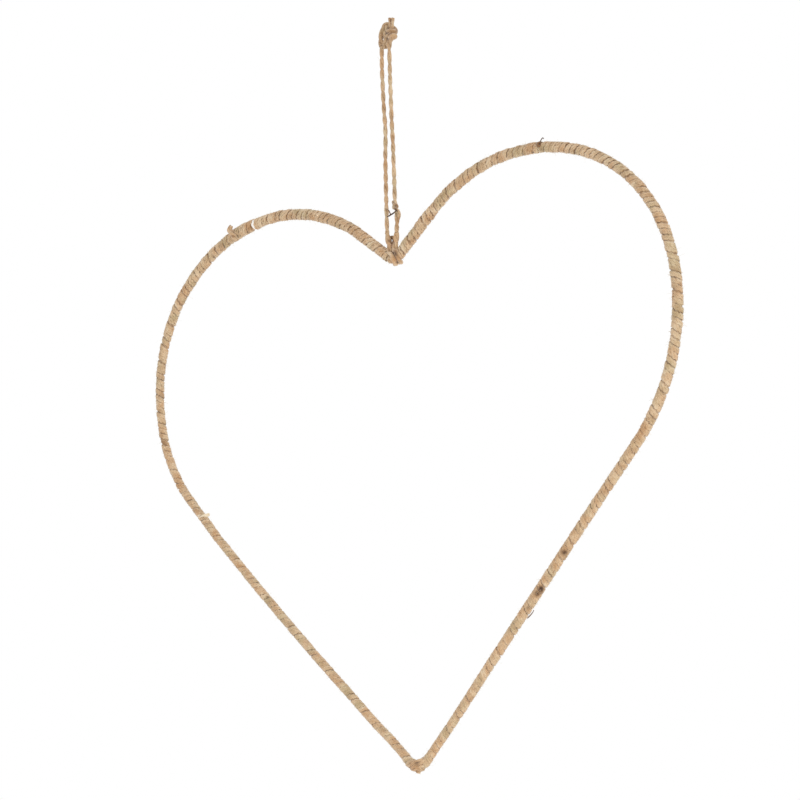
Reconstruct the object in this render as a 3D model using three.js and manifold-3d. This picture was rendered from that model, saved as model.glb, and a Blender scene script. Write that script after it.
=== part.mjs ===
/**
 * Jute hanging heart.
 *
 * A heart-shaped ring, wound turn beside turn with jute twine, hangs on a loop of the same twine that is
 * hitched round its notch and knotted at the top.
 *
 * Millimetres, +Z up, +X to the right seen from the front, -Y towards the viewer. The origin is the place
 * inside the top of the loop where a nail or hook carries it. The heart lies in the plane y = 0.
 */
import * as THREE from 'three';
import { mergeVertices } from 'three/addons/utils/BufferGeometryUtils.js';
import Module from 'manifold-3d';

const wasm = await Module();
wasm.setup();

// Outline of the heart, along the middle of the winding
const LOBE_RADIUS = 88.8;
const LOBE_OFFSET = 83.1; // each lobe's centre, sideways from the heart's axis
const FLANK_RADIUS = 110.9; // below the lobe's widest point, before the straight arm
const UPPER_SLOPE = 40.12; // degrees above the horizontal, of the straight stretch from the notch to a lobe
const TIP_DROP = 226.6; // the point where the two lower arms would meet, below the lobes' centres
const NOTCH_BEND = 6.5; // bend radius in the notch
const TIP_BEND = 8.7; // bend radius at the tip

// Hanging
const HOOK_RISE = 120.2; // the hook, above the point where the upper slopes would meet
const AXIS_SHIFT = -0.5; // the heart's axis, sideways from the hook, as the heavier right side pulls it

// Thickness over the winding, clockwise from the notch
const NOTCH_THICKNESS = 6.3;
const RIGHT_TOP_THICKNESS = 5.8;
const RIGHT_SIDE_THICKNESS = 5.8;
const RIGHT_ARM_THICKNESS = 5.4;
const TIP_THICKNESS = 4.8;
const LEFT_ARM_THICKNESS = 4.9;
const LEFT_SIDE_THICKNESS = 4.9;
const LEFT_TOP_THICKNESS = 6.2;

// Bends that the hand left in the ring: share of the way round, how far it stands out, and half its length
const HAND_BENDS = [
  { share: 0.1, out: -0.5, reach: 26 },
  { share: 0.212, out: -0.45, reach: 20 },
  { share: 0.293, out: 0.45, reach: 34 },
  { share: 0.465, out: 0.3, reach: 17 },
  { share: 0.516, out: -0.9, reach: 12 },
  { share: 0.612, out: 1.1, reach: 52 },
  { share: 0.702, out: -1.25, reach: 15 },
  { share: 0.747, out: 0.4, reach: 14 },
  { share: 0.825, out: 0.3, reach: 15 },
  { share: 0.92, out: -0.8, reach: 36 },
  { share: 0.971, out: 0.35, reach: 10 },
];

// Winding
const TURN_PITCH = 3.3; // from one turn to the next
const TURN_RELIEF = 0.55; // depth of the groove between two turns
const TURN_SIDES = 6; // straight edges in one turn

// Extra twine under and over the winding
const TIP_LUMP = 3.4; // added to the thickness at the tip
const TIP_LUMP_REACH = 4.5; // how far the lump reaches along the winding, to half its height
const TAIL_SWELL = 0.9; // added where a twine end lies under the turns on the left lobe
const TAIL_SWELL_REACH = 7;

// Twine of the loop and of the loose ends
const TWINE = 2.4; // diameter
const TWINE_SIDES = 8;
const SLACK_TWINE = 2.7; // diameter where it lies slack and swells, in the top knot and the hitch
const KNOT_TWINE = 1.9; // diameter of the thinner twine of the small knot and of the cut ends
const TWINE_GAP = 0.3; // between the hitch and the winding that it grips
const TWINE_STEP = 4; // length of one straight stretch of the strands, in twine diameters
const HITCH_STEP = 1.25; // the same in the knots and the hitch, where the bends are tight

// Hitch round the notch
const HITCH_SPREAD = 1.6; // each of its two turns, sideways from their middle
const HITCH_SHIFT = 0.3; // the middle of the turns, to the right of the heart's axis
const HITCH_LEAN = 2.8; // how far a turn stands to the right below its front and to the left above its back
const HITCH_LEAN_ANGLE = 40; // degrees below the front, where a turn stands furthest to the right
const STRAND_SPREAD = 2.6; // each strand, sideways from the heart's axis, beside the bar
const SHOULDER_RISE = 5.6; // where the strands turn forward, above the middle of the winding
const SHOULDER_SPREAD = 2.05; // each strand there, sideways from their middle
const SHOULDER_SHIFT = 0.55; // their middle there, to the right of the heart's axis
const SHOULDER_FRONT = 2.2; // how far the strands stand before the heart's plane there
const CROSSBAR_RISE = 11.7; // the bar behind the strands, above the middle of the winding
const CROSSBAR_BACK = 1.3; // how far that bar stands behind the heart's plane, and the strands before it

// Colours of the jute
const WRAP_COLOUR = 0xc4a380;
const LOOP_COLOUR = 0xb99673;

// The slope touches the lobe, which gives the height of the notch over the lobes' centres
const upperSlope = THREE.MathUtils.degToRad(UPPER_SLOPE);
const notchRise = LOBE_RADIUS / Math.cos(upperSlope) - LOBE_OFFSET * Math.tan(upperSlope);
const lobeCentreZ = -HOOK_RISE - notchRise;

// The arm runs from the tip to the flank's arc and touches it, which gives its slope
const flankOffset = LOBE_OFFSET + LOBE_RADIUS - FLANK_RADIUS;
const flankDistance = Math.hypot(flankOffset, TIP_DROP);
const lowerSlope = Math.atan2(TIP_DROP, flankOffset) - Math.asin(FLANK_RADIUS / flankDistance);

// Middle of the winding at the bottom of the notch
const notchBendZ = lobeCentreZ + notchRise + NOTCH_BEND / Math.cos(upperSlope);
const notchZ = notchBendZ - NOTCH_BEND;

/** The closed middle line of the heart, from the notch clockwise, with x along X and y along Z. */
function heartOutline() {
  const tipBendZ = lobeCentreZ - TIP_DROP + TIP_BEND / Math.cos(lowerSlope);
  const quarter = Math.PI / 2;
  const upper = upperSlope;
  const lower = lowerSlope;
  const x = AXIS_SHIFT;
  const outline = new THREE.Path();
  outline.absarc(x, notchBendZ, NOTCH_BEND, -quarter, upper - quarter, false);
  outline.absarc(x + LOBE_OFFSET, lobeCentreZ, LOBE_RADIUS, upper + quarter, 0, true);
  outline.absarc(x + flankOffset, lobeCentreZ, FLANK_RADIUS, 0, lower - quarter, true);
  outline.absarc(x, tipBendZ, TIP_BEND, lower - quarter, -quarter - lower, true);
  outline.absarc(x - flankOffset, lobeCentreZ, FLANK_RADIUS, -quarter - lower, -Math.PI, true);
  outline.absarc(x - LOBE_OFFSET, lobeCentreZ, LOBE_RADIUS, -Math.PI, -3 * quarter - upper, true);
  outline.absarc(x, notchBendZ, NOTCH_BEND, -quarter - upper, -quarter, false);
  return outline;
}

const outline = heartOutline();
const outlineLength = outline.getLength();

/** Thickness of the winding at a share of the way round, from stations that a smooth line joins. */
function baseThickness(share) {
  const stations = [
    NOTCH_THICKNESS,
    RIGHT_TOP_THICKNESS,
    RIGHT_SIDE_THICKNESS,
    RIGHT_ARM_THICKNESS,
    TIP_THICKNESS,
    LEFT_ARM_THICKNESS,
    LEFT_SIDE_THICKNESS,
    LEFT_TOP_THICKNESS,
  ];
  const place = (share - Math.floor(share)) * stations.length;
  const before = Math.floor(place);
  const from = stations[before];
  const to = stations[(before + 1) % stations.length];
  return THREE.MathUtils.lerp(from, to, THREE.MathUtils.smoothstep(place - before, 0, 1));
}

/** A rounded swelling of the given height, centred at one share of the way round. */
function swelling(share, centre, height, reach) {
  const away = (share - centre) * outlineLength;
  return height / (1 + (away / reach) ** 4);
}

const TIP_SHARE = 0.5;
const TAIL_SHARE = 0.8885;

function windingRadius(share) {
  const lump = swelling(share, TIP_SHARE, TIP_LUMP, TIP_LUMP_REACH);
  const tail = swelling(share, TAIL_SHARE, TAIL_SWELL, TAIL_SWELL_REACH);
  return (baseThickness(share) + lump + tail) / 2;
}

/** The point of the middle line at a share of the way round, with the direction away from the heart. */
function stationOf(share) {
  const wrapped = share - Math.floor(share);
  const middle = outline.getPoint(wrapped);
  const ahead = outline.getPoint(Math.min(1, wrapped + 1e-5));
  const behind = outline.getPoint(Math.max(0, wrapped - 1e-5));
  const along = ahead.sub(behind).normalize();
  const outward = new THREE.Vector3(-along.y, 0, along.x);
  const bends = HAND_BENDS.map(({ share: at, out, reach }) => swelling(wrapped, at, out, reach));
  const bend = bends.reduce((sum, one) => sum + one, 0);
  return { middle: new THREE.Vector3(middle.x, 0, middle.y).addScaledVector(outward, bend), outward };
}

/** A closed solid made from corner positions and triangles. */
function solidFrom(positions, triangles) {
  const geometry = new THREE.BufferGeometry();
  geometry.setAttribute('position', new THREE.Float32BufferAttribute(positions, 3));
  geometry.setIndex(triangles);
  return geometry;
}

/**
 * The winding: one continuous thread with a ridge line and a groove line, both climbing round the middle
 * line by one pitch a turn, until the last turn meets the first.
 */
function windingGeometry() {
  const turns = Math.round(outlineLength / TURN_PITCH);
  const count = turns * TURN_SIDES;
  const positions = [];
  const addLine = (lead, relief) => {
    for (let k = 0; k < count; k += 1) {
      const share = (k + lead * TURN_SIDES) / count;
      const { middle, outward } = stationOf(share);
      const angle = (2 * Math.PI * (k % TURN_SIDES)) / TURN_SIDES;
      const radius = windingRadius(share) - relief;
      middle.addScaledVector(outward, radius * Math.cos(angle));
      middle.y += radius * Math.sin(angle);
      positions.push(middle.x, middle.y, middle.z);
    }
  };
  addLine(0, 0);
  addLine(0.5, TURN_RELIEF);
  const triangles = [];
  for (let k = 0; k < count; k += 1) {
    const next = (k + 1) % count;
    const ridge = [k, next];
    const groove = [count + k, count + next];
    const nextRidge = [(k + TURN_SIDES) % count, (next + TURN_SIDES) % count];
    triangles.push(ridge[0], groove[1], ridge[1], ridge[0], groove[0], groove[1]);
    triangles.push(groove[0], nextRidge[1], groove[1], groove[0], nextRidge[0], nextRidge[1]);
  }
  return solidFrom(positions, triangles);
}

/** A manifold solid of a closed geometry. */
function toManifold(geometry) {
  const bare = geometry.clone();
  bare.deleteAttribute('normal');
  bare.deleteAttribute('uv');
  const merged = mergeVertices(bare, 1e-4);
  const mesh = new wasm.Mesh({
    numProp: 3,
    vertProperties: new Float32Array(merged.attributes.position.array),
    triVerts: new Uint32Array(merged.index.array),
  });
  return new wasm.Manifold(mesh);
}

/** The geometry of a manifold solid. */
function toGeometry(manifold) {
  const mesh = manifold.getMesh();
  return solidFrom(Array.from(mesh.vertProperties), Array.from(mesh.triVerts));
}

/** A round twine along a smooth line through the points. */
function twineGeometry(points, step, diameter) {
  const line = new THREE.CatmullRomCurve3(points, false, 'centripetal');
  const section = new THREE.Shape();
  for (let k = 0; k < TWINE_SIDES; k += 1) {
    const angle = (2 * Math.PI * k) / TWINE_SIDES;
    const corner = [(diameter / 2) * Math.cos(angle), (diameter / 2) * Math.sin(angle)];
    if (k === 0) section.moveTo(...corner);
    else section.lineTo(...corner);
  }
  section.closePath();
  const steps = Math.max(2, Math.round(line.getLength() / (step * diameter)));
  return new THREE.ExtrudeGeometry(section, { extrudePath: line, steps, curveSegments: 1 });
}

const toVectors = (list) => list.map(([x, y, z]) => new THREE.Vector3(x, y, z));

/** Where a loose end starts inside the winding, and how it leaves it. */
const LOOSE_ENDS = [
  { share: 0.88, angle: 0.3, lean: 1.2, length: 3.4, diameter: 2.6 },
  { share: 0.1045, angle: 0.1, lean: -0.6, length: 3.0, diameter: 1.8 },
  { share: 0.698, angle: Math.PI, lean: 0.9, length: 2.2, diameter: 1.8 },
];

function looseEnd({ share, angle, lean, length, diameter }) {
  const { middle, outward } = stationOf(share);
  const along = new THREE.Vector3(outward.z, 0, -outward.x);
  const away = outward.clone().multiplyScalar(Math.cos(angle));
  away.y -= Math.sin(angle);
  const reach = windingRadius(share) + length;
  const tip = middle.clone().addScaledVector(away, reach).addScaledVector(along, lean);
  const start = middle.clone();
  return twineGeometry([start, start.clone().lerp(tip, 0.5), tip], 1, diameter);
}

function heartGeometry() {
  let heart = toManifold(windingGeometry());
  for (const end of LOOSE_ENDS) {
    heart = heart.add(toManifold(looseEnd(end)));
  }
  return toGeometry(heart);
}

// Routes of the twine, as points chosen by hand
const LEFT_STRAND = [
  [-3.6, -1.4, -104.6],
  [-3.7, -1.2, -100],
  [-3.8, -0.9, -94.3],
  [-3.9, -0.6, -87.5],
  [-3.9, -0.3, -78.6],
  [-3.8, 0, -69.2],
  [-3.5, 0, -60.3],
  [-2.9, 0, -51.9],
  [-2.7, 0, -44],
  [-3, 0, -35.9],
  [-3.1, 0, -27.8],
  [-3.1, 0, -19.8],
  [-3.1, 0, -11.7],
  [-2.8, 0, -4.3],
  [-2.6, 0, 2],
];
const RIGHT_STRAND = [
  [2.7, -1.4, -105.4],
  [3, -1.3, -101.8],
  [3.1, -1.2, -98.2],
  [3.1, -1, -94.3],
  [2.5, -0.9, -90.6],
  [2, -0.6, -86],
  [1.9, -0.3, -79.1],
  [1.8, 0, -71.1],
  [1.9, 0, -62.7],
  [2, 0, -54.2],
  [1.9, 0, -45.1],
  [1.9, 0, -35.9],
  [2, 0, -27.4],
  [2.1, 0, -18.8],
  [2.3, 0, -10.7],
  [2.4, 0, -3.8],
  [2.4, 0, 0.4],
];
const LEFT_END_IN_KNOT = [
  [-2.6, 0, 2],
  [-3.1, 0.1, 5.7],
  [-2.5, 0.2, 8.7],
  [-1.6, 0.5, 11.8],
  [-0.8, 0.8, 13.6],
  [0.4, 1.8, 14.3],
  [2.4, 2.6, 13.2],
  [5.5, 1.6, 10.3],
  [7.2, -0.4, 7.8],
  [6.3, -1.9, 7.7],
  [3.9, -1.5, 8.8],
  [1.7, 0.2, 9.4],
];
const RIGHT_END_IN_KNOT = [
  [2.4, 0, 0.4],
  [2.7, 0, 3],
  [4.5, -0.4, 4.2],
  [6.9, -1.2, 4.5],
  [8.2, -2, 5.1],
  [7, -2.6, 5.4],
  [4.1, -1.8, 5.9],
  [1.2, -0.4, 5.8],
  [-0.3, 0.4, 4.2],
  [-0.4, 0.4, 1],
];
const LEFT_CUT_END = [
  [2.8, -0.3, 8.9],
  [3.9, -0.9, 11.4],
  [4.3, -0.6, 14.3],
  [4.1, -0.3, 16.6],
];
const RIGHT_CUT_END = [
  [4.8, -0.3, 8.7],
  [5.7, -0.6, 11.3],
  [5.9, -0.3, 13.9],
  [6, 0, 16.2],
];
const SMALL_KNOT = [
  [0.4, 0.3, -87.1],
  [1.7, -1.6, -89.6],
  [3.6, -2.4, -89.8],
  [3.6, -1.2, -90.5],
  [2, 0.5, -90.8],
  [0.4, 0.4, -90.7],
  [1, -1, -90.8],
  [3.4, -2.6, -92.2],
  [4.6, -2.2, -93.3],
  [5, -1.7, -94.9],
  [4.9, -1.5, -96.7],
  [4.1, -1.2, -98.4],
  [3.1, -1, -100.1],
];

/** Height of the winding's middle line, and its slope, at a distance sideways from the heart's axis. */
function notchAt(x) {
  const reach = NOTCH_BEND * Math.sin(upperSlope);
  const slope = Math.abs(x) < reach ? Math.asin(Math.abs(x) / NOTCH_BEND) : upperSlope;
  const beyond = Math.max(0, Math.abs(x) - reach);
  return { slope, z: notchBendZ - NOTCH_BEND * Math.cos(slope) + beyond * Math.tan(upperSlope) };
}

/** One turn of the hitch, from over the front of the winding, under it and up behind; side is -1 or 1. */
function hitchTurn(side) {
  const grip = NOTCH_THICKNESS / 2 + TWINE_GAP + SLACK_TWINE / 2;
  return [42, 0, -45, -90, -135, -180, -222].map((degrees) => {
    const angle = THREE.MathUtils.degToRad(degrees);
    const lean = HITCH_LEAN * Math.cos(angle + THREE.MathUtils.degToRad(HITCH_LEAN_ANGLE));
    const x = HITCH_SHIFT + side * HITCH_SPREAD + lean;
    const { slope, z } = notchAt(x);
    return [AXIS_SHIFT + x, -grip * Math.cos(angle), z + (grip * Math.sin(angle)) / Math.cos(slope)];
  });
}

/** The hitch: from one strand's foot round the winding, across behind both strands, and to the other foot. */
function hitchRoute() {
  const barZ = notchZ + CROSSBAR_RISE;
  const barX = AXIS_SHIFT + HITCH_SHIFT - HITCH_LEAN;
  const shoulderX = AXIS_SHIFT + SHOULDER_SHIFT;
  const shoulderZ = notchZ + SHOULDER_RISE;
  const besideBar = (side) => [AXIS_SHIFT + side * STRAND_SPREAD, -CROSSBAR_BACK, barZ - SLACK_TWINE];
  const shoulder = (side) => [shoulderX + side * SHOULDER_SPREAD, -SHOULDER_FRONT, shoulderZ];
  const barEnd = (side) => [barX + side * HITCH_SPREAD, CROSSBAR_BACK + TWINE / 4, barZ - TWINE / 2];
  return [
    LEFT_STRAND[1],
    LEFT_STRAND[0],
    besideBar(-1),
    shoulder(-1),
    ...hitchTurn(-1),
    barEnd(-1),
    [barX, CROSSBAR_BACK, barZ],
    barEnd(1),
    ...hitchTurn(1).reverse(),
    shoulder(1),
    besideBar(1),
    RIGHT_STRAND[0],
    RIGHT_STRAND[1],
  ];
}

function loopGeometry() {
  const stretches = [
    { diameter: TWINE, step: TWINE_STEP, routes: [LEFT_STRAND, RIGHT_STRAND] },
    { diameter: SLACK_TWINE, step: HITCH_STEP, routes: [hitchRoute(), LEFT_END_IN_KNOT, RIGHT_END_IN_KNOT] },
    { diameter: KNOT_TWINE, step: HITCH_STEP, routes: [LEFT_CUT_END, RIGHT_CUT_END, SMALL_KNOT] },
  ];
  const solids = stretches.flatMap(({ diameter, step, routes }) =>
    routes.map((route) => toManifold(twineGeometry(toVectors(route), step, diameter))),
  );
  return toGeometry(solids.reduce((loop, solid) => loop.add(solid)));
}

function pieceOf(name, geometry, colour) {
  const material = new THREE.MeshStandardMaterial({ color: colour, roughness: 0.95, metalness: 0 });
  geometry.computeVertexNormals();
  const mesh = new THREE.Mesh(geometry, material);
  mesh.name = name;
  return mesh;
}

const heart = new THREE.Group();
heart.add(pieceOf('jute_wrapped_heart', heartGeometry(), WRAP_COLOUR));
heart.add(pieceOf('jute_hanging_loop', loopGeometry(), LOOP_COLOUR));

export default heart;
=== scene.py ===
"""Jute hanging heart: the looks of the wound ring, its hanging loop, the loose twine ends and the stage.

The part hangs from the origin of its frame. Metres, +Z up, +X to the right seen from the front.
"""

import math

import bpy
import numpy as np
from mathutils import Matrix, Vector


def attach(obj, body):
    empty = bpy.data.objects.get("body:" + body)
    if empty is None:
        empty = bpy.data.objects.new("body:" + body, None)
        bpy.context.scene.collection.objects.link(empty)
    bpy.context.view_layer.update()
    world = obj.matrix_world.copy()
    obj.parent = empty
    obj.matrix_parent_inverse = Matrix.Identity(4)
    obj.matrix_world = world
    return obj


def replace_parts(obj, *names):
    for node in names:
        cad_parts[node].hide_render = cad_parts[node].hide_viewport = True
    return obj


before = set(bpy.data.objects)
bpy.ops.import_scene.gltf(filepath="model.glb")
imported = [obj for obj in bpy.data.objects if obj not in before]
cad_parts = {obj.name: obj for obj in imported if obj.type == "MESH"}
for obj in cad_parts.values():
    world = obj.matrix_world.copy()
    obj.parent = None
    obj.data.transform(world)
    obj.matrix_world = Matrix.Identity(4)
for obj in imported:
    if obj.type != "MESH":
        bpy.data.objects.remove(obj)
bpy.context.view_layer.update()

bl_info = {
    "name": "Jute Hanging Heart",
    "version": (1, 0, 0),
    "blender": (4, 5, 0),
    "location": "3D View > Sidebar > Jute Heart",
    "description": "Winds a heart-shaped ring with jute twine and hangs it on a knotted twine loop",
    "category": "Add Mesh",
}

MM = 0.001
BODY = "root"
RING_NODE = "jute_wrapped_heart"
LOOP_NODE = "jute_hanging_loop"


# Colour and node helpers


def linear(hex_colour):
    """A scene-linear RGBA colour from an sRGB hex value such as C4A380."""
    channels = [int(hex_colour[i : i + 2], 16) / 255 for i in (0, 2, 4)]
    bent = [c / 12.92 if c <= 0.04045 else ((c + 0.055) / 1.055) ** 2.4 for c in channels]
    return (*bent, 1.0)


def add_node(tree, kind, inputs=None, **settings):
    """Adds one node, sets its properties, and fills its inputs with values or links."""
    node = tree.nodes.new(kind)
    for name, value in settings.items():
        setattr(node, name, value)
    for key, value in (inputs or {}).items():
        if isinstance(value, bpy.types.NodeSocket):
            tree.links.new(value, node.inputs[key])
        else:
            node.inputs[key].default_value = value
    return node


def socket_of(tree, name):
    """The identifier of a tree's input with this name."""
    for item in tree.interface.items_tree:
        if item.item_type == "SOCKET" and item.in_out == "INPUT" and item.name == name:
            return item.identifier
    raise KeyError(name)


def new_geometry_tree(name, inputs):
    """An empty geometry tree with a geometry input and output and these further inputs."""
    tree = bpy.data.node_groups.new(name, "GeometryNodeTree")
    tree.interface.new_socket("Geometry", in_out="INPUT", socket_type="NodeSocketGeometry")
    for label, (kind, default) in inputs.items():
        item = tree.interface.new_socket(label, in_out="INPUT", socket_type=kind)
        if default is not None:
            item.default_value = default
    tree.interface.new_socket("Geometry", in_out="OUTPUT", socket_type="NodeSocketGeometry")
    return tree, add_node(tree, "NodeGroupInput").outputs, add_node(tree, "NodeGroupOutput")


def baked(base, tree, values, name):
    """The plain mesh object that a geometry tree makes of a base object, which is then removed."""
    modifier = base.modifiers.new("Nodes", "NODES")
    modifier.node_group = tree
    for label, value in values.items():
        modifier[socket_of(tree, label)] = value
    depsgraph = bpy.context.evaluated_depsgraph_get()
    mesh = bpy.data.meshes.new_from_object(base.evaluated_get(depsgraph), depsgraph=depsgraph)
    mesh.name = name
    base.modifiers.clear()
    bpy.data.objects.remove(base)
    piece = bpy.data.objects.new(name, mesh)
    bpy.context.scene.collection.objects.link(piece)
    return piece


def put_out(tree, output, geometry, material):
    """Ends a geometry tree: makes its instances real, gives them their material and puts them out."""
    real = add_node(tree, "GeometryNodeRealizeInstances", {0: geometry}).outputs[0]
    painted = add_node(tree, "GeometryNodeSetMaterial", {"Geometry": real, "Material": material})
    tree.links.new(painted.outputs[0], output.inputs[0])
    return tree


def path_object(name, points, closed=False, attributes=None):
    """A mesh of points joined by edges, with float vector attributes on its points."""
    mesh = bpy.data.meshes.new(name)
    edges = [(i, i + 1) for i in range(len(points) - 1)]
    if closed:
        edges.append((len(points) - 1, 0))
    mesh.from_pydata([tuple(p) for p in points], edges, [])
    for label, rows in (attributes or {}).items():
        layer = mesh.attributes.new(label, "FLOAT_VECTOR", "POINT")
        for item, row in zip(layer.data, rows):
            item.vector = row
    base = bpy.data.objects.new(name, mesh)
    bpy.context.scene.collection.objects.link(base)
    return base


# Sizes and colours


def length(name, description, millimetres):
    """A length property with its default given in millimetres."""
    return bpy.props.FloatProperty(
        name=name, description=description, default=millimetres * MM, unit="LENGTH", precision=4
    )


def colour(name, description, hex_colour):
    """A colour property with its default given as an sRGB hex value."""
    return bpy.props.FloatVectorProperty(
        name=name, description=description, default=linear(hex_colour), size=4, subtype="COLOR"
    )


class JuteHeartShape(bpy.types.PropertyGroup):
    """Outline of the ring and the thickness of its winding"""

    lobe_radius: length("Lobe Radius", "Radius of each lobe along the middle of the winding", 88.8)
    lobe_offset: length("Lobe Offset", "Each lobe's centre, sideways from the heart's axis", 83.1)
    flank_radius: length("Flank Radius", "Radius below the lobe's widest point", 110.9)
    upper_slope: bpy.props.FloatProperty(
        name="Upper Slope",
        description="Slope of the straight stretch from the notch to a lobe",
        default=math.radians(40.12),
        subtype="ANGLE",
    )
    tip_drop: length("Tip Drop", "Where the two arms would meet, below the lobes' centres", 226.6)
    notch_bend: length("Notch Bend", "Bend radius in the notch", 6.5)
    tip_bend: length("Tip Bend", "Bend radius at the tip", 8.7)
    hook_rise: length("Hook Rise", "The hook, above the point where the slopes would meet", 120.2)
    axis_shift: length("Axis Shift", "The heart's axis, sideways from the hook", -0.5)
    notch_thickness: length("Notch Thickness", "Over the winding in the notch", 6.3)
    right_top_thickness: length("Right Top Thickness", "Over the winding on the right lobe", 5.8)
    right_side_thickness: length("Right Side Thickness", "Over the winding at the right side", 5.8)
    right_arm_thickness: length("Right Arm Thickness", "Over the winding on the right arm", 5.4)
    tip_thickness: length("Tip Thickness", "Over the winding beside the tip's lump", 4.8)
    left_arm_thickness: length("Left Arm Thickness", "Over the winding on the left arm", 4.9)
    left_side_thickness: length("Left Side Thickness", "Over the winding at the left side", 4.9)
    left_top_thickness: length("Left Top Thickness", "Over the winding on the left lobe", 6.2)


class JuteHeartTwine(bpy.types.PropertyGroup):
    """Sizes of the jute twine and how it is laid"""

    pitch: length("Turn Pitch", "From one turn of the winding to the next", 3.3)
    strand_radius: length("Strand Radius", "Radius of one of the two strands in the winding", 0.95)
    strand_spread: length("Strand Spread", "Each strand, sideways from the middle of a turn", 0.82)
    twine: length("Twine Diameter", "Diameter of the free twine of the loop", 2.4)
    lay: length("Lay Length", "Length of twine in which its plies turn round each other once", 13)
    fuzz_length: length("Stray Fibre Length", "Longest of the few fibres that stand off the twine", 3.2)
    nap_length: length("Nap Length", "Longest of the many short fibres that lie on the twine", 1.5)


class JuteHeartColours(bpy.types.PropertyGroup):
    """Colours of the jute and of the stage"""

    jute: colour("Jute", "Natural jute twine in its middle tone", "D0B28E")
    jute_pale: colour("Pale Jute", "Its palest fibres", "EBDABD")
    jute_warm: colour("Warm Jute", "Browner hanks of fibre", "C29465")
    jute_olive: colour("Olive Jute", "Greyer, greener hanks of fibre", "B2A077")
    # Dark Jute is both the darker fibres and stained turns and the painted shade in the grooves between turns
    # and plies
    jute_dark_and_shade: colour("Dark Jute", "Fibres in the grooves and stained turns", "845F3C")
    # Bark also paints the shadows that some of the dark spots stand for
    bark: colour("Bark", "Bits of bark and the stained ends of twine", "4A3323")
    core: colour("Pale Core", "White paper round the core, seen in the gap between two turns", "F6F1EA")
    floor: colour("Floor", "Pale floor under the hanging heart", "F4F3F1")


# Outline of the ring

QUARTER = math.pi / 2
WINDING_QUARTERS = ("winding_right_lobe", "winding_right_arm", "winding_left_arm", "winding_left_lobe")
OUTLINE_POINTS = 700
LUMPS_PER_METRE = 230.0  # lumps in the winding's surface, about 4 mm long


def outline_arcs(shape):
    """The arcs of the middle line, clockwise from the notch: centre x and z, radius, first and last angle."""
    upper = shape.upper_slope
    rise = shape.lobe_radius / math.cos(upper) - shape.lobe_offset * math.tan(upper)
    lobe_z = -shape.hook_rise - rise
    flank = shape.lobe_offset + shape.lobe_radius - shape.flank_radius
    lower = math.atan2(shape.tip_drop, flank)
    lower -= math.asin(shape.flank_radius / math.hypot(flank, shape.tip_drop))
    notch_z = -shape.hook_rise + shape.notch_bend / math.cos(upper)
    tip_z = lobe_z - shape.tip_drop + shape.tip_bend / math.cos(lower)
    x = shape.axis_shift
    return [
        (x, notch_z, shape.notch_bend, -QUARTER, upper - QUARTER),
        (x + shape.lobe_offset, lobe_z, shape.lobe_radius, upper + QUARTER, 0),
        (x + flank, lobe_z, shape.flank_radius, 0, lower - QUARTER),
        (x, tip_z, shape.tip_bend, lower - QUARTER, -QUARTER - lower),
        (x - flank, lobe_z, shape.flank_radius, -QUARTER - lower, -math.pi),
        (x - shape.lobe_offset, lobe_z, shape.lobe_radius, -math.pi, -3 * QUARTER - upper),
        (x, notch_z, shape.notch_bend, -QUARTER - upper, -QUARTER),
    ]


class Outline:
    """The closed middle line of the ring, read by the share of the way round from the notch, clockwise."""

    def __init__(self, shape):
        corners = []
        for centre_x, centre_z, radius, first, last in outline_arcs(shape):
            steps = max(8, math.ceil(abs(last - first) * radius / (0.5 * MM)))
            for k in range(steps + 1):
                angle = first + (last - first) * k / steps
                corners.append(
                    Vector((centre_x + radius * math.cos(angle), 0, centre_z + radius * math.sin(angle)))
                )
        self.corners = corners
        self.reach = [0.0]
        for a, b in zip(corners, corners[1:]):
            self.reach.append(self.reach[-1] + (b - a).length)
        self.length = self.reach[-1]

    def at(self, share):
        """The point at a share of the way round, and the way out of the heart there."""
        wanted = (share % 1.0) * self.length
        low, high = 0, len(self.reach) - 1
        while high - low > 1:
            middle = (low + high) // 2
            if self.reach[middle] <= wanted:
                low = middle
            else:
                high = middle
        span = self.reach[high] - self.reach[low]
        part = (wanted - self.reach[low]) / span if span else 0.0
        along = (self.corners[high] - self.corners[low]).normalized()
        return self.corners[low].lerp(self.corners[high], part), Vector((-along.z, 0, along.x))


# The tip, where the last turns of the winding run level round both arms
TIP_SHARE = 0.5
TIP_LUMP = 1.6 * MM
TIP_LUMP_REACH = 4.5 * MM
TIP_TWINE = 1.9 * MM
TIP_TURNS = 5
TIP_TURNS_TOP = 2.9 * MM  # above the middle line at the tip, as is their bottom
TIP_TURNS_BOTTOM = -3.4 * MM
TIP_TURNS_HALF_WIDTH = 7.7 * MM
TIP_TURNS_HALF_DEPTH = 3.3 * MM
TIP_TURNS_SHIFT = 0.6 * MM  # to the right of the heart's axis
TIP_TURNS_RISE = 0.12  # slope, up to the right
TAIL_SHARE = 0.8885
TAIL_SWELL = 0.9 * MM
TAIL_SWELL_REACH = 7 * MM

# Bends that the hand left in the ring: share of the way round, how far it stands out, and half its length
HAND_BENDS = [
    (0.1, -0.5, 26), (0.212, -0.45, 20), (0.293, 0.45, 34), (0.465, 0.3, 17), (0.516, -0.9, 12),
    (0.612, 1.1, 52), (0.702, -1.25, 15), (0.747, 0.4, 14), (0.825, 0.3, 15), (0.92, -0.8, 36),
    (0.971, 0.35, 10),
]

# One narrow gap between two turns, where the pale core shows
GAP_SHARE = 0.8964
GAP_CORE_LENGTH = 2.2 * MM
GAP_CORE_DEPTH = 0.45 * MM  # its surface, below that of the winding

# Turns that differ from the rest: share of the way round, reach along the winding, and how pale or dark
STAINS = [
    (0.6980, 1.0 * MM, 0.6),
    (0.3674, 1.5 * MM, -0.5),
    (0.3894, 1.3 * MM, -0.3),
    (0.7772, 1.4 * MM, -0.5),
]


def swelling(away, reach):
    """How much of a swelling is left at a distance from its middle: one there, a half at its reach."""
    return 1 / (1 + (away / reach) ** 4)


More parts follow.
